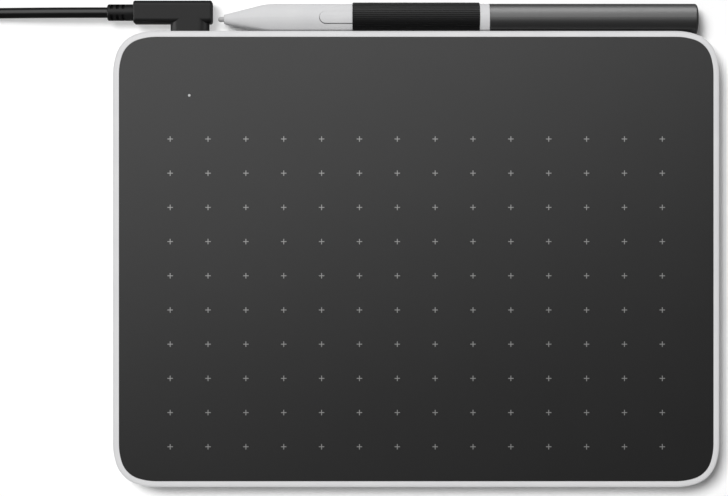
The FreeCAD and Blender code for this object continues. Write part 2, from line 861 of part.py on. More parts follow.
def pen_chassis():
    """The carrier in the pen: a rod with a trough for the board, a bridge for the pin and bores in front."""
    body = rod(chassis_start, chassis_end, chassis_r)
    board_room = box(
        sensor_end, pen_board_end + 0.5, -pen_board_half_width - 0.05, pen_board_half_width + 0.05,
        pen_board_bottom, pen_r,
    )
    keel_room = box(sensor_end + 2, pen_board_end - 2, -1.8, 1.8, chassis_wall - 0.1 - chassis_r, 0)
    tail_room = rod(pen_board_end + 4, chassis_end + 1, chassis_r - chassis_wall)
    top_room = box(
        switch_start - 1.2, switch_start + switch_length + 1.2, -pen_r, pen_r, switch_floor - 1.5, pen_r
    )
    body = body.cut(board_room).cut(keel_room).cut(tail_room).cut(top_room)
    bridge = box(
        switch_pivot - 1.6, switch_pivot + 1.6, -pen_board_half_width - 0.15, pen_board_half_width + 0.15,
        pen_board_top + 0.25, pivot_z + 0.7,
    )
    body = joined([body, bridge.common(rod(switch_pivot - 2, switch_pivot + 2, chassis_r))])
    lug_room = box(switch_pivot - 1.0, switch_pivot + 1.0, -1.0, 1.0, 0.5, pen_r)
    pin_hole = Part.makeCylinder(pivot_r + 0.02, 8, V(switch_pivot, -4, pivot_z), ALONG_Y)
    ferrite_bore = rod(chassis_start - 1, ferrite_end + 0.3, ferrite_r + 0.05)
    holder_bore = rod(ferrite_end + 0.3, sensor_start, holder_r + fit)
    sensor_bore = rod(sensor_start, sensor_end + 0.1, sensor_r + 0.05)
    return body.cut(lug_room).cut(pin_hole).cut(ferrite_bore).cut(holder_bore).cut(sensor_bore)


def side_switch():
    """A see-saw switch: highest over its pivot and lower towards both ends."""
    plan = flat_stadium(switch_pivot, 0, switch_length, switch_width, switch_floor, pen_r + 1)
    end_r = switch_crest_r - switch_end_drop
    s0 = switch_start - 1
    s1 = switch_start + switch_length + 1
    crown = turned([(s0, 0), (s0, end_r), (switch_pivot, switch_crest_r), (s1, end_r), (s1, 0)])
    cap = plan.common(crown)
    lug = box(switch_pivot - 0.8, switch_pivot + 0.8, -0.85, 0.85, pivot_z - 0.9, switch_floor + 0.2)
    keys = [
        box(
            switch_pivot + k - 0.7, switch_pivot + k + 0.7, -1, 1,
            pen_board_top + key_height + key_gap, switch_floor + 0.2,
        )
        for k in (-key_offset, key_offset)
    ]
    pin_hole = Part.makeCylinder(pivot_r + 0.05, 8, V(switch_pivot, -4, pivot_z), ALONG_Y)
    return joined([cap, lug] + keys).cut(pin_hole)


def pen_switches():
    switches = []
    for k in (-key_offset, key_offset):
        s = switch_pivot + k
        body = box(s - 1.5, s + 1.5, -1.3, 1.3, pen_board_top, pen_board_top + key_height - 0.5)
        plunger = post(s, 0, pen_board_top + 0.9, pen_board_top + key_height, 0.7)
        switches.append(joined([body, plunger]))
    return Part.makeCompound(switches)


def pen_board():
    return box(
        pen_board_start, pen_board_end, -pen_board_half_width, pen_board_half_width,
        pen_board_bottom, pen_board_top,
    )


# The lead: angled plug, strain relief, cable, coil and the host plug

plug_z = port_z
cable_y = (plug_y0 + plug_y1) / 2
neck_width = 12.1
plug_face_y = recess_floor_y + 0.4
metal_width = 8.25
metal_height = 2.4
metal_length = 6.5
metal_wall = 0.3
relief_end_x = plug_x0 - relief_length
lead_in = 2 * cable_r
run_reach = 64.95
run_level = 17.0
run_drop = 30.0
tail_length = 36.55
tail_level = 11.0
coil_x = relief_end_x - run_reach
coil_y = cable_y - coil_outer_r
layer_low = cable_r
layer_high = cable_r + coil_pitch
coil_inner_r = coil_outer_r - coil_turns_in * coil_pitch
host_length = 23.0
host_width = 15.8
host_height = 8.0
host_metal_width = 12.0
host_metal_height = 4.5
host_metal_length = 12.0
host_relief_length = 9.0
host_z = host_height / 2
host_x = coil_x - coil_inner_r - coil_turns_out * coil_pitch
host_relief_y = coil_y - lead_in - tail_length
host_body_y = host_relief_y - host_relief_length
host_face_y = host_body_y - host_length
relief_first_slot = 1.45
relief_slot_pitch = 1.79
relief_slot_depth = 0.85
relief_slot_span = 2.1
relief_slot_width = 0.9


def rounded_bar(x0, x1, y0, y1, z0, z1, long_r, end_r):
    """A bar along X with well-rounded long edges and lightly rounded ends."""
    bar = box(x0, x1, y0, y1, z0, z1)
    bar = bar.makeFillet(long_r, edges_along(bar, ALONG_X))
    ends = [
        e for e in bar.Edges
        if all(abs(v.X - x0) < 1e-6 for v in e.Vertexes) or all(abs(v.X - x1) < 1e-6 for v in e.Vertexes)
    ]
    return bar.makeFillet(end_r, ends)


def plug_body():
    z0 = plug_z - plug_height / 2
    z1 = plug_z + plug_height / 2
    bar = rounded_bar(plug_x0, plug_x1, plug_y0, plug_y1, z0, z1, 1.5, 0.6)
    neck_middle = (plug_y0 + plug_y1) / 2
    neck = slot_along_y(port_x, plug_z, neck_width, plug_height, plug_face_y, neck_middle)
    front = [e for e in neck.Edges if all(abs(v.Y - plug_face_y) < 1e-6 for v in e.Vertexes)]
    return joined([bar, neck.makeFillet(0.4, front)])


def plug_metal():
    y0 = plug_face_y - metal_length
    outside = slot_along_y(port_x, plug_z, metal_width, metal_height, y0, plug_face_y)
    inside = slot_along_y(
        port_x, plug_z, metal_width - 2 * metal_wall, metal_height - 2 * metal_wall, y0 - 1, plug_face_y - 0.5
    )
    return outside.cut(inside)


def strain_relief(length, slots):
    """A round sleeve along X from -length to 0, with rings of four pockets that leave ribs between."""
    sleeve = rod(-length, 0, relief_r)
    end_edges = [e for e in sleeve.Edges if all(abs(v.X + length) < 1e-6 for v in e.Vertexes)]
    sleeve = sleeve.makeFillet(0.5, end_edges)
    span = relief_slot_span / 2
    pockets = []
    for k in range(slots):
        s0 = relief_first_slot + k * relief_slot_pitch - length - relief_slot_width / 2
        s1 = s0 + relief_slot_width
        for quarter in range(4):
            pocket = box(s0, s1, -span, span, relief_r - relief_slot_depth, relief_r + 1)
            pocket.rotate(V(0, 0, 0), ALONG_X, 45 + 90 * quarter)
            pockets.append(pocket)
    return sleeve.cut(Part.makeCompound(pockets))


def plug_relief():
    sleeve = strain_relief(relief_length, 3)
    sleeve.translate(V(plug_x0, cable_y, plug_z))
    return sleeve


def arc_middle(start, tangent, end):
    """The middle of the arc from start to end that leaves along the tangent, or None if it is straight."""
    chord = end - start
    along = V(chord).normalize()
    lean = tangent - along * tangent.dot(along)
    if lean.Length < 1e-7:
        return None
    half = chord.Length / 2
    angle = tangent.getAngle(chord)
    return start + chord * 0.5 + lean.normalize() * (half * math.tan(angle / 2))


def biarc(start, start_way, end, end_way):
    """Two tangent arcs between two points with given directions."""
    gap = end - start
    ways = start_way + end_way
    spread = 2 * (1 - start_way.dot(end_way))
    b = gap.dot(ways)
    if spread < 1e-9:
        reach = gap.Length ** 2 / (2 * b)
    else:
        reach = (math.sqrt(b * b + spread * gap.Length ** 2) - b) / spread
    joint = (start + end + (start_way - end_way) * reach) * 0.5
    first = arc_middle(start, start_way, joint)
    second = arc_middle(end, end_way * -1, joint)
    return [Part.Arc(start, first, joint).toShape(), Part.Arc(joint, second, end).toShape()]


def coil_point(turn):
    """The coil's centreline after this many turns: in, up a layer where the spiral reverses, and out."""
    reverse = coil_turns_in + 0.25
    r = coil_outer_r - coil_pitch * (reverse - abs(turn - reverse))
    climbed = min(max((turn - coil_turns_in) / 0.5, 0), 1)
    rise = (1 - math.cos(climbed * math.pi)) / 2
    angle = math.pi / 2 + turn * 2 * math.pi
    z = layer_low + (layer_high - layer_low) * rise
    return V(coil_x + r * math.cos(angle), coil_y + r * math.sin(angle), z)


def coil_way(turn):
    """The direction of the coil's centreline, square to the lead-in at both ends."""
    total = coil_turns_in + 0.5 + coil_turns_out
    if turn < 0.01:
        return V(-1, 0, 0)
    if turn > total - 0.01:
        return V(0, -1, 0)
    step = 0.002
    return (coil_point(turn + step) - coil_point(turn - step)).normalize()


def coil_wire():
    total = coil_turns_in + 0.5 + coil_turns_out
    steps = int(round(total * 4))
    turns = [k / 4 for k in range(steps + 1)]
    edges = [Part.LineSegment(coil_point(0) + ALONG_X * lead_in, coil_point(0)).toShape()]
    for a, b in zip(turns, turns[1:]):
        edges += biarc(coil_point(a), coil_way(a), coil_point(b), coil_way(b))
    last = coil_point(total)
    edges.append(Part.LineSegment(last, last - ALONG_Y * lead_in).toShape())
    return Part.Wire(edges)


def least_gap(wire):
    """The least distance between stretches of the wire over a third of a turn apart, less one diameter."""
    points = wire.discretize(Distance=2.0)
    skip = 20
    best = 1e9
    for i, p in enumerate(points):
        for q in points[i + skip:]:
            best = min(best, (p - q).Length)
    return best - 2 * cable_r


def cable_coil():
    wire = coil_wire()
    print("coil length", round(wire.Length, 1), "least gap to itself", round(least_gap(wire), 3))
    return tube_on(wire, cable_r)


def run_points():
    return [
        V(relief_end_x, cable_y, plug_z),
        V(relief_end_x - run_level, cable_y, plug_z),
        V(relief_end_x - run_level - run_drop, cable_y, cable_r),
        V(coil_x + lead_in, cable_y, cable_r),
    ]


def tail_points():
    return [
        V(host_x, host_relief_y + tail_length, layer_high),
        V(host_x, host_relief_y + tail_length - tail_level, layer_high),
        V(host_x, host_relief_y + tail_level, host_z),
        V(host_x, host_relief_y, host_z),
    ]


def host_relief():
    sleeve = strain_relief(host_relief_length, 4)
    sleeve.rotate(V(0, 0, 0), ALONG_Z, -90)
    sleeve.translate(V(host_x, host_body_y, host_z))
    return sleeve


def host_body():
    half = host_width / 2
    body = box(host_x - half, host_x + half, host_face_y, host_body_y, 0, host_height)
    body = body.makeFillet(1.8, edges_along(body, ALONG_Y))
    ends = [
        e for e in body.Edges
        if all(abs(v.Y - host_body_y) < 1e-6 for v in e.Vertexes)
        or all(abs(v.Y - host_face_y) < 1e-6 for v in e.Vertexes)
    ]
    return body.makeFillet(0.6, ends)


def host_metal():
    """The flat host plug's metal shell, open at its end, with two square windows above and two below."""
    half_w = host_metal_width / 2
    half_h = host_metal_height / 2
    y0 = host_face_y - host_metal_length
    outside = box(host_x - half_w, host_x + half_w, y0, host_face_y, host_z - half_h, host_z + half_h)
    inner_w = half_w - metal_wall
    inner_h = half_h - metal_wall
    inside = box(
        host_x - inner_w, host_x + inner_w, y0 - 1, host_face_y - 0.4, host_z - inner_h, host_z + inner_h
    )
    z0 = host_z - half_h - 1
    z1 = host_z + half_h + 1
    windows = [
        box(host_x + x - 1.25, host_x + x + 1.25, y0 + 5.2, y0 + 7.2, z0, z1) for x in (-2.9, 2.9)
    ]
    return outside.cut(inside).cut(Part.makeCompound(windows))


def host_insert():
    half = host_metal_width / 2 - metal_wall - 0.05
    y0 = host_face_y - host_metal_length + 0.4
    z0 = host_z - host_metal_height / 2 + metal_wall
    return box(host_x - half, host_x + half, y0, host_face_y - 0.4, z0, host_z - 0.1)


# Tablet housing and drawing surface
put("back_cover", back_cover())
put("top_plate", top_plate())
put("surface_sheet", surface_sheet())
put("grid_marks", grid_marks())
put("rubber_feet", rubber_feet())
put("case_screws", case_screws())

# Electronics inside the tablet
put("sensor_board", notched_sheet(sensor_y1, board_bottom, ledge_z))
put("shield_plate", notched_sheet(shield_y1, rib_top, board_bottom))
put("main_board", main_board())
put("board_screws", main_board_screws())
put("usb_c_receptacle_shell", receptacle_shell())
put("usb_c_receptacle_tongue", receptacle_tongue())
put("main_controller_chip", chip(controller_x, controller_y, controller_size))
put("charger_chip", chip(port_x + charger_past_port, controller_y + 4.0, charger_size))
put("wireless_module", chip(controller_x + 1.5, radio_y, radio_size))
put("flex_connector", flex_connector())
put("sensor_flex", sensor_flex())
put("battery_cell", battery_cell())
put("battery_leads", battery_leads())
put("battery_plug", battery_plug())
put("power_switch", button_switch())
put("power_button", power_button())
put("status_led", chip(led_x, led_y, (1.6, 1.0, 0.6)))
put("status_light_guide", light_guide())

# Pen loop
put("pen_loop", loop_ring_and_tab())
put("pen_loop_anchor", loop_anchor())

# Pen
put("pen_front_case", in_pen(front_case()))
put("pen_rear_barrel", in_pen(rear_barrel()))
put("pen_chassis", in_pen(pen_chassis()))
put("pen_nib", in_pen(nib()))
put("pen_nib_holder", in_pen(nib_holder()))
put("pen_ferrite_core", in_pen(tube(ferrite_start, ferrite_end, nib_r + fit, ferrite_r)))
put("pen_coil", in_pen(tube(coil_wind_start, coil_wind_end, ferrite_r, coil_wind_r)))
put("pen_pressure_sensor", in_pen(rod(sensor_start, sensor_end, sensor_r)))
put("pen_circuit_board", in_pen(pen_board()))
put("pen_switches", in_pen(pen_switches()))
put("side_switch", in_pen(side_switch()))
put("side_switch_pin", in_pen(Part.makeCylinder(pivot_r, 5.0, V(switch_pivot, -2.5, pivot_z), ALONG_Y)))

# Lead
put("usb_c_plug_body", plug_body())
put("usb_c_plug_shell", plug_metal())
put("cable_strain_relief", plug_relief())
put("cable_run", tube_on(tangent_route(run_points(), "cable_run"), cable_r))
put("cable_coil", cable_coil())
put("cable_tail", tube_on(tangent_route(tail_points(), "cable_tail"), cable_r))
put("usb_a_strain_relief", host_relief())
put("usb_a_plug_body", host_body())
put("usb_a_plug_shell", host_metal())
put("usb_a_plug_insert", host_insert())
print("origin moved by", round(origin_y, 3))
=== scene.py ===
import math
import random

import bmesh
import bpy
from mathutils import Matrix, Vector


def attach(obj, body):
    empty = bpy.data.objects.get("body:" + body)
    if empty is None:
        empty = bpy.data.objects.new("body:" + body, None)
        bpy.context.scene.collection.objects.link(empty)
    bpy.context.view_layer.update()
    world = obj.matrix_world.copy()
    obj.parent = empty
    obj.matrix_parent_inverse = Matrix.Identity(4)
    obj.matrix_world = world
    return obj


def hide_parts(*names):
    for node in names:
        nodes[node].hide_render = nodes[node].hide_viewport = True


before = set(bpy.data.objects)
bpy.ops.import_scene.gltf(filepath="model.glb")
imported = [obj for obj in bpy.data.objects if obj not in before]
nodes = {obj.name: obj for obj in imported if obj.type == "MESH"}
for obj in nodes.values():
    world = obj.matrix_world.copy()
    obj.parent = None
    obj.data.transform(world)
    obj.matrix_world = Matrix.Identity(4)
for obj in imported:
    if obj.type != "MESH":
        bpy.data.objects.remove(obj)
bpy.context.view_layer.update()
scene = bpy.context.scene

MM = 0.001
# The part is centred front to back together with its pen: the tablet's own middle lies this far forward
TABLET_BACK_SHIFT = 4.585


def at(x, y, z):
    """A point in millimetres from the tablet's middle, as metres in the row frame."""
    return Vector((x * MM, (y - TABLET_BACK_SHIFT) * MM, z * MM))


def linked(name, data):
    made = bpy.data.objects.new(name, data)
    scene.collection.objects.link(made)
    return made


def smooth_piece(name, shape, sharp_deg):
    """Turns a closed mesh into an object, smooth but for edges sharper than this many degrees."""
    bmesh.ops.recalc_face_normals(shape, faces=shape.faces[:])
    data = bpy.data.meshes.new(name)
    shape.to_mesh(data)
    shape.free()
    for face in data.polygons:
        face.use_smooth = True
    data.set_sharp_from_angle(angle=math.radians(sharp_deg))
    return linked(name, data)


# Camera: straight above, with the photograph's frame of 728 by 496

CAMERA_PLACE = (-0.01613, -0.00118, 0.6098)
CAMERA_LENS = 96.08
CAMERA_SENSOR = 36.0


def photo_camera():
    data = bpy.data.cameras.new("photo_camera")
    data.lens = CAMERA_LENS
    data.sensor_width = CAMERA_SENSOR
    data.clip_start = 0.01
    data.clip_end = 20.0
    camera = linked("photo_camera", data)
    camera.location = CAMERA_PLACE
    scene.camera = camera


photo_camera()


# Lead: one smooth line from the angled plug's strain relief to the far plug's

CABLE_R = 1.65
RELIEF_END = (-95.95, 76.725, 4.6)
RUN_LEVEL = 17.0
RUN_DROP = 30.0
COIL_R = 26.5
COIL_X = -160.9
COIL_Y = RELIEF_END[1] - COIL_R
COIL_STEP = 3.8
CLIMB_TURNS = 0.5
TURNS_IN = 3.5
TURNS_ALL = 7.25
POINTS_PER_TURN = 24
TAIL_X = -186.45
TAIL_LENGTH = 36.55
TAIL_LEVEL = 11.0
FAR_PLUG_Z = 4.0


def coil_point(turn):
    """The coil's centreline after this many turns: in, up a layer where the spiral reverses, and out."""
    reverse = TURNS_IN + CLIMB_TURNS / 2
    r = COIL_R - COIL_STEP * (reverse - abs(turn - reverse))
    climbed = min(max((turn - TURNS_IN) / CLIMB_TURNS, 0), 1)
    rise = (1 - math.cos(climbed * math.pi)) / 2
    angle = math.pi / 2 + turn * 2 * math.pi
    return (COIL_X + r * math.cos(angle), COIL_Y + r * math.sin(angle), CABLE_R + COIL_STEP * rise)


def lead_points():
    """The run from the strain relief down to the desk, the coil, and the tail from the coil's top layer."""
    x, y, z = RELIEF_END
    landed = x - RUN_LEVEL - RUN_DROP
    run = [RELIEF_END, (x - RUN_LEVEL, y, z), (landed, y, CABLE_R), (COIL_X + 2 * CABLE_R, y, CABLE_R)]
    steps = int(TURNS_ALL * POINTS_PER_TURN)
    coil = [coil_point(k / POINTS_PER_TURN) for k in range(steps + 1)]
    y = COIL_Y - 2 * CABLE_R
    top = CABLE_R + COIL_STEP
    tail = [(TAIL_X, y, top), (TAIL_X, y - TAIL_LEVEL, top)]
    tail += [(TAIL_X, y - reach, FAR_PLUG_Z) for reach in (TAIL_LENGTH - TAIL_LEVEL, TAIL_LENGTH)]
    return run + coil + tail


def usb_lead():
    data = bpy.data.curves.new("usb_lead_cable", "CURVE")
    data.dimensions = "3D"
    data.bevel_depth = 1.0
    data.bevel_resolution = 7
    data.resolution_u = 6
    data.use_fill_caps = True
    spline = data.splines.new("NURBS")
    points = lead_points()
    spline.points.add(len(points) - 1)
    for point, place in zip(spline.points, points):
        point.co = (*at(*place), 1.0)
        point.radius = CABLE_R * MM
    spline.order_u = 3
    spline.use_endpoint_u = True
    made = linked("usb_lead_cable", data)
    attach(made, "usb_lead")
    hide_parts("cable_run", "cable_coil", "cable_tail")
    at(*RELIEF_END)
    return made


cable = usb_lead()


# Elastic pen loop: ribs run along the pen, and both layers go into the tablet's back wall

PEN_Y = 74.5
PEN_Z = 5.25
LOOP_HALF = 19.7
LOOP_BORE_R = 4.93
LOOP_CREST_R = 5.24
LOOP_STATIONS = 72
LOOP_SHARP_DEG = 50
RIBS = 48
RIB_DEPTH = 0.12
RIB_SAMPLES = 8
GROOVE_SHARE = 0.125
# Each rib wavers in height by its own amount between these two, and the knit on it by a fixed one. Both are
# sines, in radians per millimetre along the pen and per rib round it.
RIB_SWAY = (0.004, 0.014)
SWAY_SEED = 7
SWAY_ALONG = 0.55
SWAY_ACROSS = 1.7
KNIT_HEIGHT = 0.012
KNIT_ALONG = 9.0
KNIT_ACROSS = 2.4
HEM_LENGTH = 0.35
HEM_DROP = 0.14
TAB_HALF = 0.36
TAB_MARGIN = 0.03
# The tab has its points this far in front of the round part, and ends inside the wall
TAB_START = 0.35
TAB_MIDDLE = 1.2
TAB_END_Y = 63.6


def around_pen(r, angle):
    return (PEN_Y + r * math.cos(angle), PEN_Z + r * math.sin(angle))


def loop_section(x, sways):
    """The loop's outer and inner outline at one place along the pen, as equally long lists of points."""
    hem = min(1.0, (LOOP_HALF - abs(x)) / HEM_LENGTH)
    hem_drop = HEM_DROP * (1 - math.sqrt(max(0.0, 1 - (1 - hem) ** 2)))
    mouth = math.asin(TAB_HALF / LOOP_CREST_R) + TAB_MARGIN
    count = RIBS * RIB_SAMPLES
    outer, inner = [], []
    for k in range(count + 1):
        ribs_passed = k / count * RIBS
        angle = -math.pi + mouth + k / count * 2 * (math.pi - mouth)
        rib = min(int(ribs_passed), RIBS - 1)
        sway = sways[rib] * math.sin(x * SWAY_ALONG + rib * SWAY_ACROSS)
        knit = KNIT_HEIGHT * math.sin(x * KNIT_ALONG + rib * KNIT_ACROSS)
        groove = max(0.0, 1 - abs(ribs_passed - round(ribs_passed)) / GROOVE_SHARE)
        r = LOOP_CREST_R - hem_drop - RIB_DEPTH * groove + knit * (1 - groove) + sway
        outer.append(around_pen(r, angle))
        inner.append(around_pen(LOOP_BORE_R, angle))
    neck_y = PEN_Y - LOOP_CREST_R
    ends = (neck_y - TAB_START, neck_y - TAB_MIDDLE, TAB_END_Y)
    tab = [(y, PEN_Z + TAB_HALF) for y in ends] + [(y, PEN_Z - TAB_HALF) for y in reversed(ends)]
    for k, point in enumerate(tab):
        outer.append(point)
        inner.append(around_pen(LOOP_BORE_R, math.pi - mouth + 2 * mouth * (k + 1) / (len(tab) + 1)))
    return outer, inner


def pen_loop():
    """The ribbed sleeve as one closed mesh, from stations along the pen."""
    chance = random.Random(SWAY_SEED)
    sways = [chance.uniform(*RIB_SWAY) for _ in range(RIBS)]
    shape = bmesh.new()
    rings = []
    for k in range(LOOP_STATIONS + 1):
        x = -LOOP_HALF * math.cos(math.pi * k / LOOP_STATIONS)
        rings.append([[shape.verts.new(at(x, y, z)) for y, z in line] for line in loop_section(x, sways)])
    count = len(rings[0][0])
    for before, after in zip(rings, rings[1:]):
        for k in range(count):
            n = (k + 1) % count
            shape.faces.new((before[0][k], before[0][n], after[0][n], after[0][k]))
            shape.faces.new((before[1][n], before[1][k], after[1][k], after[1][n]))
    for (outer, inner), way in ((rings[0], 1), (rings[-1], -1)):
        for k in range(count):
            n = (k + 1) % count
            shape.faces.new((outer[k], inner[k], inner[n], outer[n])[::way])
    made = smooth_piece("pen_loop_fabric", shape, LOOP_SHARP_DEG)
    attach(made, "tablet")
    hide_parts("pen_loop")
    return made


loop = pen_loop()


# Side switch: a smooth skin on its keys, level with the pen's case and close against it along the back edge

NIB_X = -61.55
PEN_ROLL = math.radians(3.0)
SWITCH_MIDDLE = 44.65
SWITCH_STRAIGHT_HALF = 11.05
SKIN_HALF_WIDTH = 1.87
SKIN_SET_BACK = 0.015
SKIN_LEVEL_R = 4.83
SKIN_TAIL_R = 4.60
SKIN_UNDERSIDE = 3.8
SKIN_EDGE = 0.14
SKIN_EDGE_DROP = 0.10
SKIN_SHARP_DEG = 40
# Where the skin's mesh has its lines: shares of its half width, degrees round its ends, and steps between
SKIN_ACROSS = (0.0, 0.25, 0.5, 0.7, 0.84, 0.92, 0.96, 0.985, 1.0)
SKIN_END_DEG = (4, 8, 13, 19, 26, 34, 43, 53, 64, 76, 88)
SKIN_STEPS = 8


def in_pen(along, y, z):
    """A point of the pen, given from its nib's tip and its axis, where the pen lies turned in the loop."""
    turned_y = y * math.cos(PEN_ROLL) + z * math.sin(PEN_ROLL)
    turned_z = z * math.cos(PEN_ROLL) - y * math.sin(PEN_ROLL)
    return at(NIB_X + along, PEN_Y + turned_y, PEN_Z + turned_z)


def skin_height(along, y):
    """Level with the case as far as the pivot, then falling away, and rounded over towards its front edge."""
    behind_pivot = max(0.0, along - SWITCH_MIDDLE) / (SWITCH_STRAIGHT_HALF + SKIN_HALF_WIDTH)
    r = SKIN_LEVEL_R - (SKIN_LEVEL_R - SKIN_TAIL_R) * behind_pivot
    past_straight = max(0.0, abs(along - SWITCH_MIDDLE) - SWITCH_STRAIGHT_HALF)
    margin = SKIN_HALF_WIDTH - math.hypot(past_straight, y - SKIN_SET_BACK)
    rounded = max(0.0, 1 - margin / SKIN_EDGE) ** 2
    nearness = (SKIN_HALF_WIDTH + SKIN_SET_BACK - y) / (2 * SKIN_HALF_WIDTH)
    return math.sqrt(r * r - y * y) - SKIN_EDGE_DROP * nearness * rounded


def skin_stations():
    """Places along the pen with the skin's half width there, from one rounded end to the other."""
    half = []
    for turn in map(math.radians, SKIN_END_DEG):
        reach = SWITCH_STRAIGHT_HALF + SKIN_HALF_WIDTH * math.cos(turn)
        half.append((reach, SKIN_HALF_WIDTH * math.sin(turn)))
    half += [(SWITCH_STRAIGHT_HALF * (1 - k / SKIN_STEPS), SKIN_HALF_WIDTH) for k in range(SKIN_STEPS + 1)]
    towards_nib = [(SWITCH_MIDDLE - reach, width) for reach, width in half]
    return towards_nib + [(SWITCH_MIDDLE + reach, width) for reach, width in reversed(half[:-1])]


def switch_skin():
    """The switch's smooth top as one closed mesh, from stations along the pen."""
    across = [-share for share in reversed(SKIN_ACROSS[1:])] + list(SKIN_ACROSS)
    shape = bmesh.new()
    rings = []
    for along, width in skin_stations():
        line = [SKIN_SET_BACK + share * width for share in across]
        top = [in_pen(along, y, skin_height(along, y)) for y in line]
        under = [in_pen(along, y, SKIN_UNDERSIDE) for y in reversed(line)]
        rings.append([shape.verts.new(point) for point in top + under])
    count = len(rings[0])
    for before, after in zip(rings, rings[1:]):
        for k in range(count):
            n = (k + 1) % count
            shape.faces.new((before[k], before[n], after[n], after[k]))
    shape.faces.new(rings[0])
    shape.faces.new(rings[-1])
    made = smooth_piece("side_switch_skin", shape, SKIN_SHARP_DEG)
    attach(made, "side_switch")
    return made


skin = switch_skin()


# Finishes: a small wrapper lets shader maths be written as plain Python expressions

NOISE_ROUGHNESS = 0.55


class Value:
    """One socket's output inside a finish, for arithmetic with numbers and other values."""

    def __init__(self, finish, socket):
        self.finish = finish
        self.socket = socket

    def math(self, operation, *others):
        settings = {"operation": operation}
        return self.finish.node("ShaderNodeMath", settings, dict(enumerate((self, *others))))

    def __add__(self, other):
        return self.math("ADD", other)

    def __sub__(self, other):
        return self.math("SUBTRACT", other)

    def __mul__(self, other):
        return self.math("MULTIPLY", other)

    def __truediv__(self, other):
        return self.math("DIVIDE", other)

    def __mod__(self, other):
        return self.math("FLOORED_MODULO", other)

    def __rsub__(self, other):
        return self.math("MULTIPLY_ADD", -1.0, other)

    def __gt__(self, other):
        return self.math("GREATER_THAN", other)

    def __abs__(self):
        return self.math("ABSOLUTE")

    __radd__ = __add__
    __rmul__ = __mul__

    def band(self, low, high):
        """Rises from 0 at low to 1 at high, held to that range."""
        settings = {"interpolation_type": "SMOOTHSTEP"}
        return self.finish.node("ShaderNodeMapRange", settings, {0: self, 1: low, 2: high})

    def stripes(self, pitch):
        """Stripes this far apart: 1 at each multiple of the pitch, and 0 half way between."""
        return abs(self % pitch - pitch / 2) / (pitch / 2)


class Finish:
    """One procedural material."""

    def __init__(self, name):
        self.material = bpy.data.materials.new(name)
        self.material.use_nodes = True
        self.tree = self.material.node_tree
        self.tree.nodes.clear()
        self.place = self.node("ShaderNodeTexCoord", output="Object")

    def node(self, kind, settings=None, inputs=None, output=0):
        """Adds a node: its settings first, then the values or links of its sockets."""
        made = self.tree.nodes.new(kind)
        for key, value in (settings or {}).items():
            setattr(made, key, value)
        for key, value in (inputs or {}).items():
            if isinstance(value, Value):
                self.tree.links.new(value.socket, made.inputs[key])
            elif isinstance(value, tuple) and made.inputs[key].type == "RGBA":
                made.inputs[key].default_value = (*value, 1.0)
            else:
                made.inputs[key].default_value = value
        return Value(self, made.outputs[output]) if made.outputs else None

    def noise(self, size, detail=3.0, stretch=None, offset=(0.0, 0.0, 0.0)):
        """Soft noise with features of this size in millimetres."""
        place = self.place
        if stretch or any(offset):
            inputs = {0: place, 1: offset, 3: stretch or (1.0, 1.0, 1.0)}
            place = self.node("ShaderNodeMapping", {"vector_type": "POINT"}, inputs)
        inputs = {"Vector": place, "Scale": 1 / (size * MM), "Detail": detail, "Roughness": NOISE_ROUGHNESS}
        return self.node("ShaderNodeTexNoise", {"noise_dimensions": "3D"}, inputs)

    def cells(self, size):
        """Distance to the nearest of scattered points this many millimetres apart."""
        inputs = {"Vector": self.place, "Scale": 1 / (size * MM)}
        return self.node("ShaderNodeTexVoronoi", {"feature": "F1"}, inputs, "Distance")

    def axis(self, name):
        """A coordinate of the surface in millimetres."""
        return self.node("ShaderNodeSeparateXYZ", None, {0: self.place}, name) * (1 / MM)

    def mix(self, share, first, second):
        """A colour between two colours."""
        inputs = {0: share, 6: first, 7: second}
        return self.node("ShaderNodeMix", {"data_type": "RGBA"}, inputs, 2)

    def relief(self, height, depth):
        """A bumped normal from a height between 0 and 1, this many millimetres deep."""
        return self.node("ShaderNodeBump", None, {"Height": height, "Distance": depth * MM, "Strength": 1.0})

    def surface(self, colour, roughness, normal=None, **others):
        """Closes the material with one principled shader, whose other sockets are named in small letters."""
        inputs = {"Base Color": colour, "Roughness": roughness}
        if normal is not None:
            inputs["Normal"] = normal
        for name, value in others.items():
            inputs[name.replace("_", " ").title().replace("Ior", "IOR")] = value
        shader = self.node("ShaderNodeBsdfPrincipled", None, inputs)
        self.node("ShaderNodeOutputMaterial", None, {"Surface": shader})
        return self.material


def moulded(name, light, dark, rough, grain=0.14, depth=0.006, patch=9.0, **others):
    """Moulded plastic: cloudy tone, spark-eroded grain, and hand polish in soft patches."""
    f = Finish(name)
    clouds = f.noise(patch, 2.0)
    specks = f.noise(0.35, 2.0)
    tone = (clouds * 0.7 + specks * 0.3).band(0.3, 0.7)
    fine = f.noise(grain, 2.0)
    polish = f.noise(patch * 2.2, 3.0, offset=(3.0, 1.0, 2.0)).band(0.35, 0.7)
    scuffs = f.noise(0.5, 4.0, stretch=(0.06, 1.0, 1.0)).band(0.62, 0.72)
    roughness = rough + (fine - 0.5) * 0.10 - polish * 0.05 + scuffs * 0.04
    normal = f.relief(fine + scuffs * 0.25, depth)
    return f.surface(f.mix(tone, dark, light), roughness, normal, **others)


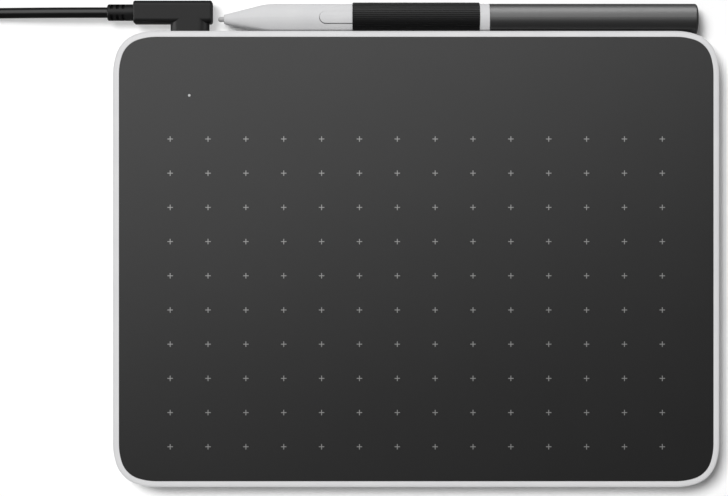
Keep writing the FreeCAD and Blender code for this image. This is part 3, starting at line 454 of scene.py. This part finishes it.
def drawing_surface():
    """The writing sheet: charcoal film with a paper-like tooth, slightly polished where the hand rests."""
    hand_reach = (80.0, 52.0)
    hand_forward = 18.0
    f = Finish("drawing_surface")
    tooth = f.noise(0.22, 3.0)
    dust = f.noise(0.6, 2.0).band(0.62, 0.8)
    clouds = f.noise(24.0, 2.0)
    tone = (tooth * 0.55 + clouds * 0.45).band(0.3, 0.7)
    colour = f.mix(tone, (0.0022, 0.0022, 0.0023), (0.0040, 0.0040, 0.0042))
    colour = f.mix(dust * 0.2, colour, (0.012, 0.012, 0.0125))
    across = f.axis("X") / hand_reach[0]
    along = (f.axis("Y") + hand_forward) / hand_reach[1]
    polished = (across * across + along * along).band(1.1, 0.2)
    strokes = f.noise(0.8, 3.0, stretch=(0.12, 1.0, 1.0)).band(0.6, 0.75)
    roughness = 0.36 + (tooth - 0.5) * 0.08 - polished * 0.012 - strokes * polished * 0.02
    return f.surface(colour, roughness, f.relief(tooth, 0.008), specular_ior_level=0.5)


def printed_mark():
    """Pale ink of the grid, a little uneven, and painted fainter towards the front right, as painted shade
    where the light falls off.
    """
    f = Finish("printed_mark")
    ink = f.noise(0.3, 3.0)
    # Painted shade: the ink is darkened towards the front right, where the light falls off.
    rubbing_and_painted_shade = (f.axis("X") * 0.4 - f.axis("Y")).band(-90.0, 110.0)
    colour = f.mix(ink, (0.40, 0.40, 0.396), (0.50, 0.50, 0.495))
    colour = f.mix(rubbing_and_painted_shade, colour, (0.24, 0.24, 0.238))
    return f.surface(colour, 0.55 + ink * 0.1, f.relief(ink, 0.004))


def elastic_fabric():
    """Black knitted elastic: small stitches along each rib, and a soft fibre sheen."""
    stitch_pitch = 0.42
    wale_pitch = 0.36
    f = Finish("elastic_fabric")
    across = f.axis("X")
    up = f.axis("Z")
    stitch = (across + f.noise(1.2, 2.0) * 0.15).stripes(stitch_pitch)
    fibre = f.noise(0.07, 3.0, stretch=(0.35, 1.0, 1.0))
    height = stitch * 0.5 + fibre * 0.35 + up.stripes(wale_pitch) * 0.15
    lint = f.noise(0.5, 4.0).band(0.66, 0.78)
    colour = f.mix(height, (0.0015, 0.0015, 0.0016), (0.0065, 0.0065, 0.0068))
    colour = f.mix(lint * 0.15, colour, (0.05, 0.05, 0.052))
    return f.surface(
        colour, 0.42 + fibre * 0.12, f.relief(height, 0.02),
        specular_ior_level=0.15, sheen_weight=0.20, sheen_roughness=0.35,
    )


def cable_rubber(name, dark, rough, gloss):
    """Black rubber with a fine grain and a little dust."""
    f = Finish(name)
    fine = f.noise(0.16, 3.0)
    clouds = f.noise(6.0, 2.0)
    dust = f.noise(0.9, 4.0).band(0.6, 0.8)
    colour = f.mix(clouds, (dark, dark, dark * 1.05), (dark * 1.6, dark * 1.6, dark * 1.65))
    colour = f.mix(dust * 0.2, colour, (0.03, 0.03, 0.031))
    roughness = rough + fine * 0.10 + dust * 0.12
    return f.surface(colour, roughness, f.relief(fine, 0.006), specular_ior_level=gloss)


def barrel_finish():
    """Dark satin coat of the pen's rear half, with a fine metallic flake and faint rubbed lines along it."""
    f = Finish("pen_dark_plastic")
    flake = f.noise(0.09, 1.0)
    clouds = f.noise(8.0, 2.0)
    rubbing_and_painted_shade = f.noise(0.7, 4.0, stretch=(0.1, 1.0, 1.0)).band(0.6, 0.74)
    colour = f.mix(flake.band(0.35, 0.75), (0.009, 0.009, 0.0092), (0.019, 0.019, 0.0195))
    colour = f.mix(clouds * 0.3, colour, (0.013, 0.013, 0.0133))
    roughness = 0.42 + (flake - 0.5) * 0.08 + rubbing_and_painted_shade * 0.05
    return f.surface(colour, roughness, f.relief(flake + rubbing_and_painted_shade * 0.3, 0.003), specular_ior_level=0.88)


def brushed_steel():
    """Plated steel, brushed front to back and a little stained."""
    light = 0.62
    f = Finish("steel")
    lines = f.noise(0.12, 3.0, stretch=(1.0, 0.08, 1.0))
    stain = f.noise(3.5, 3.0).band(0.45, 0.75)
    dark = (light * 0.72, light * 0.72, light * 0.73)
    colour = f.mix(lines, dark, (light, light, light * 1.01))
    colour = f.mix(stain * 0.35, colour, (light * 0.55, light * 0.54, light * 0.52))
    roughness = 0.30 + lines * 0.12 + stain * 0.08
    return f.surface(colour, roughness, f.relief(lines, 0.004), metallic=1.0)


def circuit_board():
    """Green mask over copper tracks, with tinned pads and small holes."""
    row_pitch = 0.9
    column_pitch = 1.3
    pad_pitch = 2.1
    f = Finish("circuit_board")
    x = f.axis("X")
    y = f.axis("Y")
    bend = f.noise(5.0, 0.0).band(0.42, 0.58)
    rows = (y + bend * row_pitch).stripes(row_pitch).band(0.45, 0.55)
    columns = (x + bend * row_pitch).stripes(column_pitch).band(0.5, 0.6)
    field = f.noise(7.0, 0.0).band(0.48, 0.52)
    tracks = (rows * field + columns * (1 - field)) * 0.8
    pads = f.cells(pad_pitch).band(0.17, 0.14)
    holes = f.cells(pad_pitch).band(0.08, 0.06)
    colour = f.mix(tracks, (0.004, 0.035, 0.018), (0.012, 0.085, 0.040))
    colour = f.mix(pads, colour, (0.62, 0.60, 0.55))
    colour = f.mix(holes, colour, (0.01, 0.01, 0.01))
    normal = f.relief(tracks * 0.6 + pads * 0.4 - holes, 0.03)
    return f.surface(colour, 0.34 + f.noise(0.2) * 0.12, normal, metallic=pads * (1 - holes))


def battery_foil():
    """Crinkled aluminium pouch."""
    f = Finish("battery_foil")
    crease = f.noise(3.0, 4.0, stretch=(0.6, 1.0, 1.0))
    folds = abs(crease - 0.5) * 2.0
    fine = f.noise(0.25, 2.0)
    colour = f.mix(folds, (0.42, 0.42, 0.43), (0.60, 0.60, 0.61))
    return f.surface(colour, 0.32 + fine * 0.12, f.relief(folds + fine * 0.1, 0.05), metallic=0.8)


def flex_film():
    """Amber film with parallel copper tracks."""
    track_pitch = 0.5
    f = Finish("flex_film")
    tracks = f.axis("X").stripes(track_pitch).band(0.45, 0.55)
    colour = f.mix(tracks, (0.16, 0.065, 0.012), (0.42, 0.19, 0.055))
    return f.surface(colour, 0.30 + f.noise(0.3) * 0.15, f.relief(tracks, 0.012))


def lead_insulation():
    """Battery leads: the back one red, the front one black."""
    between_leads_y = 49.0
    f = Finish("lead_insulation")
    is_back = f.axis("Y") > between_leads_y - TABLET_BACK_SHIFT
    fine = f.noise(0.2, 2.0)
    red = f.mix(fine, (0.38, 0.012, 0.010), (0.50, 0.022, 0.018))
    black = f.mix(fine, (0.010, 0.010, 0.010), (0.022, 0.022, 0.022))
    return f.surface(f.mix(is_back, black, red), 0.38 + fine * 0.1, f.relief(fine, 0.006))


def copper_winding():
    """Fine enamelled wire, wound side by side along the pen."""
    wire_pitch = 0.16
    f = Finish("copper")
    gap = f.axis("X").stripes(wire_pitch)
    stain = f.noise(1.5, 3.0)
    colour = f.mix(stain, (0.55, 0.20, 0.08), (0.72, 0.30, 0.13))
    return f.surface(colour, 0.28 + stain * 0.12, f.relief(1 - gap * gap, 0.05), metallic=0.9)


def clear_plastic():
    """Milky light guide and lamp."""
    f = Finish("clear_plastic")
    haze = f.noise(0.3, 3.0)
    colour = f.mix(haze, (0.56, 0.57, 0.57), (0.67, 0.68, 0.68))
    return f.surface(
        colour, 0.30 + haze * 0.1, f.relief(haze, 0.003),
        emission_color=(1.0, 1.0, 1.0), emission_strength=0.03,
    )


def nib_plastic():
    """Grey nib, scuffed pale round its tip."""
    scuff_x = (-60.2, -61.5)
    f = Finish("nib_plastic")
    fine = f.noise(0.12, 3.0)
    worn = f.axis("X").band(*scuff_x) * fine.band(0.35, 0.6)
    colour = f.mix(fine, (0.42, 0.42, 0.422), (0.50, 0.50, 0.502))
    colour = f.mix(worn * 0.5, colour, (0.50, 0.50, 0.50))
    return f.surface(colour, 0.42 + fine * 0.12, f.relief(fine, 0.006))


finishes = {
    "white_housing": moulded(
        "white_housing", (0.70, 0.70, 0.705), (0.67, 0.67, 0.68), 0.42, specular_ior_level=0.15
    ),
    "black_plastic": moulded("black_plastic", (0.022, 0.022, 0.023), (0.015, 0.015, 0.016), 0.45),
    "white_plastic": moulded("white_plastic", (0.72, 0.71, 0.68), (0.66, 0.65, 0.62), 0.40, patch=3.0),
    "foot_rubber": moulded(
        "foot_rubber", (0.030, 0.030, 0.031), (0.018, 0.018, 0.019), 0.78, grain=0.2, depth=0.02
    ),
    "pen_light_plastic": moulded(
        "pen_light_plastic", (0.60, 0.60, 0.605), (0.575, 0.575, 0.585), 0.44, depth=0.004,
        specular_ior_level=0.15,
    ),
    "ferrite": moulded("ferrite", (0.055, 0.053, 0.052), (0.030, 0.029, 0.029), 0.62, depth=0.012, patch=1.5),
    "drawing_surface": drawing_surface(),
    "printed_mark": printed_mark(),
    "elastic_fabric": elastic_fabric(),
    "cable_rubber": cable_rubber("cable_rubber", 0.0030, 0.42, 0.26),
    "cable_jacket": cable_rubber("cable_jacket", 0.0015, 0.25, 0.45),
    "pen_dark_plastic": barrel_finish(),
    "steel": brushed_steel(),
    "circuit_board": circuit_board(),
    "battery_foil": battery_foil(),
    "flex_film": flex_film(),
    "lead_insulation": lead_insulation(),
    "copper": copper_winding(),
    "clear_plastic": clear_plastic(),
    "nib_plastic": nib_plastic(),
}


def paint(thing, finish):
    thing.data.materials.clear()
    thing.data.materials.append(finishes[finish])


# Each node takes the finish that its own slot in the record names
for node in nodes.values():
    paint(node, node.data.materials[0].name.split(".")[0])
paint(cable, "cable_jacket")
paint(loop, "elastic_fabric")
paint(skin, "pen_light_plastic")


# Studio: a broad soft light behind lights the whole part. Smaller ones open up its pale pieces, its dark
# round ones and both sides of its plug, and the pale floor has two lights of its own from the back left.

FLOOR_HALF = 3.0
PART_LIGHTS_AWAY = 1.4
FLOOR_LIGHTS_AWAY = 3.0
FLOOR_LIGHTS_TILT = 26.0
FLOOR_LIGHTS_HEADING = -48.0
FLOOR_LIGHTS_SIZE = (1.2, 1.2)


def pale_floor():
    shape = bmesh.new()
    corners = ((-1, -1), (1, -1), (1, 1), (-1, 1))
    shape.faces.new([shape.verts.new((x * FLOOR_HALF, y * FLOOR_HALF, 0.0)) for x, y in corners])
    data = bpy.data.meshes.new("pale_floor")
    shape.to_mesh(data)
    shape.free()
    made = linked("pale_floor", data)
    f = Finish("pale_floor")
    grain = f.noise(30.0, 3.0)
    data.materials.append(f.surface(f.mix(grain, (0.93, 0.93, 0.93), (0.95, 0.95, 0.95)), 0.9))
    made.visible_glossy = False
    return made


def soft_light(name, tilt, heading, size, radiance, away=PART_LIGHTS_AWAY):
    """An area light this many degrees from straight up, seen from the part towards a heading from +Y."""
    data = bpy.data.lights.new(name, "AREA")
    data.shape = "RECTANGLE"
    data.size, data.size_y = size
    data.energy = radiance * math.pi * size[0] * size[1]
    light = linked(name, data)
    lean = math.radians(tilt)
    turn = math.radians(heading)
    way = Vector((math.sin(turn) * math.sin(lean), math.cos(turn) * math.sin(lean), math.cos(lean)))
    light.location = way * away
    light.rotation_mode = "QUATERNION"
    light.rotation_quaternion = way.to_track_quat("Z", "Y")
    light.visible_camera = False
    return light


def floor_softbox(name, radiance):
    return soft_light(
        name, FLOOR_LIGHTS_TILT, FLOOR_LIGHTS_HEADING, FLOOR_LIGHTS_SIZE, radiance, FLOOR_LIGHTS_AWAY
    )


def linked_group(name, things, state):
    group = bpy.data.collections.new(name)
    for thing in things:
        group.objects.link(thing)
    for member in group.collection_objects:
        member.light_linking.link_state = state
    return group


def lights_only(light, things, state="INCLUDE"):
    """The light reaches these alone, or all but these, as backdrops are lit apart in a studio."""
    light.light_linking.receiver_collection = linked_group(light.name + "_reach", things, state)


def passes_through(light, things):
    """These cast no shadow in this light, which leaves their shadow pale."""
    light.light_linking.blocker_collection = linked_group(light.name + "_open", things, "EXCLUDE")


def even_sky(strength):
    world = bpy.data.worlds.new("even_sky")
    scene.world = world
    world.use_nodes = True
    sky = world.node_tree.nodes["Background"]
    sky.inputs["Color"].default_value = (1.0, 1.0, 1.0, 1.0)
    sky.inputs["Strength"].default_value = strength


floor = pale_floor()
housing = nodes["back_cover"]
pale_pen = [nodes["pen_front_case"], nodes["side_switch"], skin]
dark_round = [nodes["pen_rear_barrel"], loop]
plug = [nodes["usb_c_plug_body"], nodes["cable_strain_relief"]]
lights_only(soft_light("back_softbox", 33.0, -20.0, (1.5, 1.65), 2.6), [floor], "EXCLUDE")
lights_only(soft_light("low_back_softbox", 75.0, 0.0, (1.8, 0.5), 1.4), pale_pen)
lights_only(soft_light("dark_edge_softbox", 73.0, 0.0, (1.8, 0.9), 4.6), dark_round)
lights_only(soft_light("front_softbox", 45.0, 180.0, (1.8, 0.7), 2.0), [housing] + pale_pen)
lights_only(soft_light("right_softbox", 55.0, 90.0, (0.7, 1.4), 0.4), [housing] + pale_pen)
lights_only(soft_light("plug_left_softbox", 80.0, -90.0, (0.45, 1.4), 11.0), plug)
lights_only(soft_light("plug_right_softbox", 80.0, 90.0, (0.45, 1.4), 7.0), plug)
lights_only(floor_softbox("floor_light", 11.7), [floor])
floor_fill = floor_softbox("floor_fill", 9.6)
lights_only(floor_fill, [floor])
passes_through(floor_fill, [cable] + plug)
even_sky(0.15)
scene.view_settings.view_transform = "Standard"
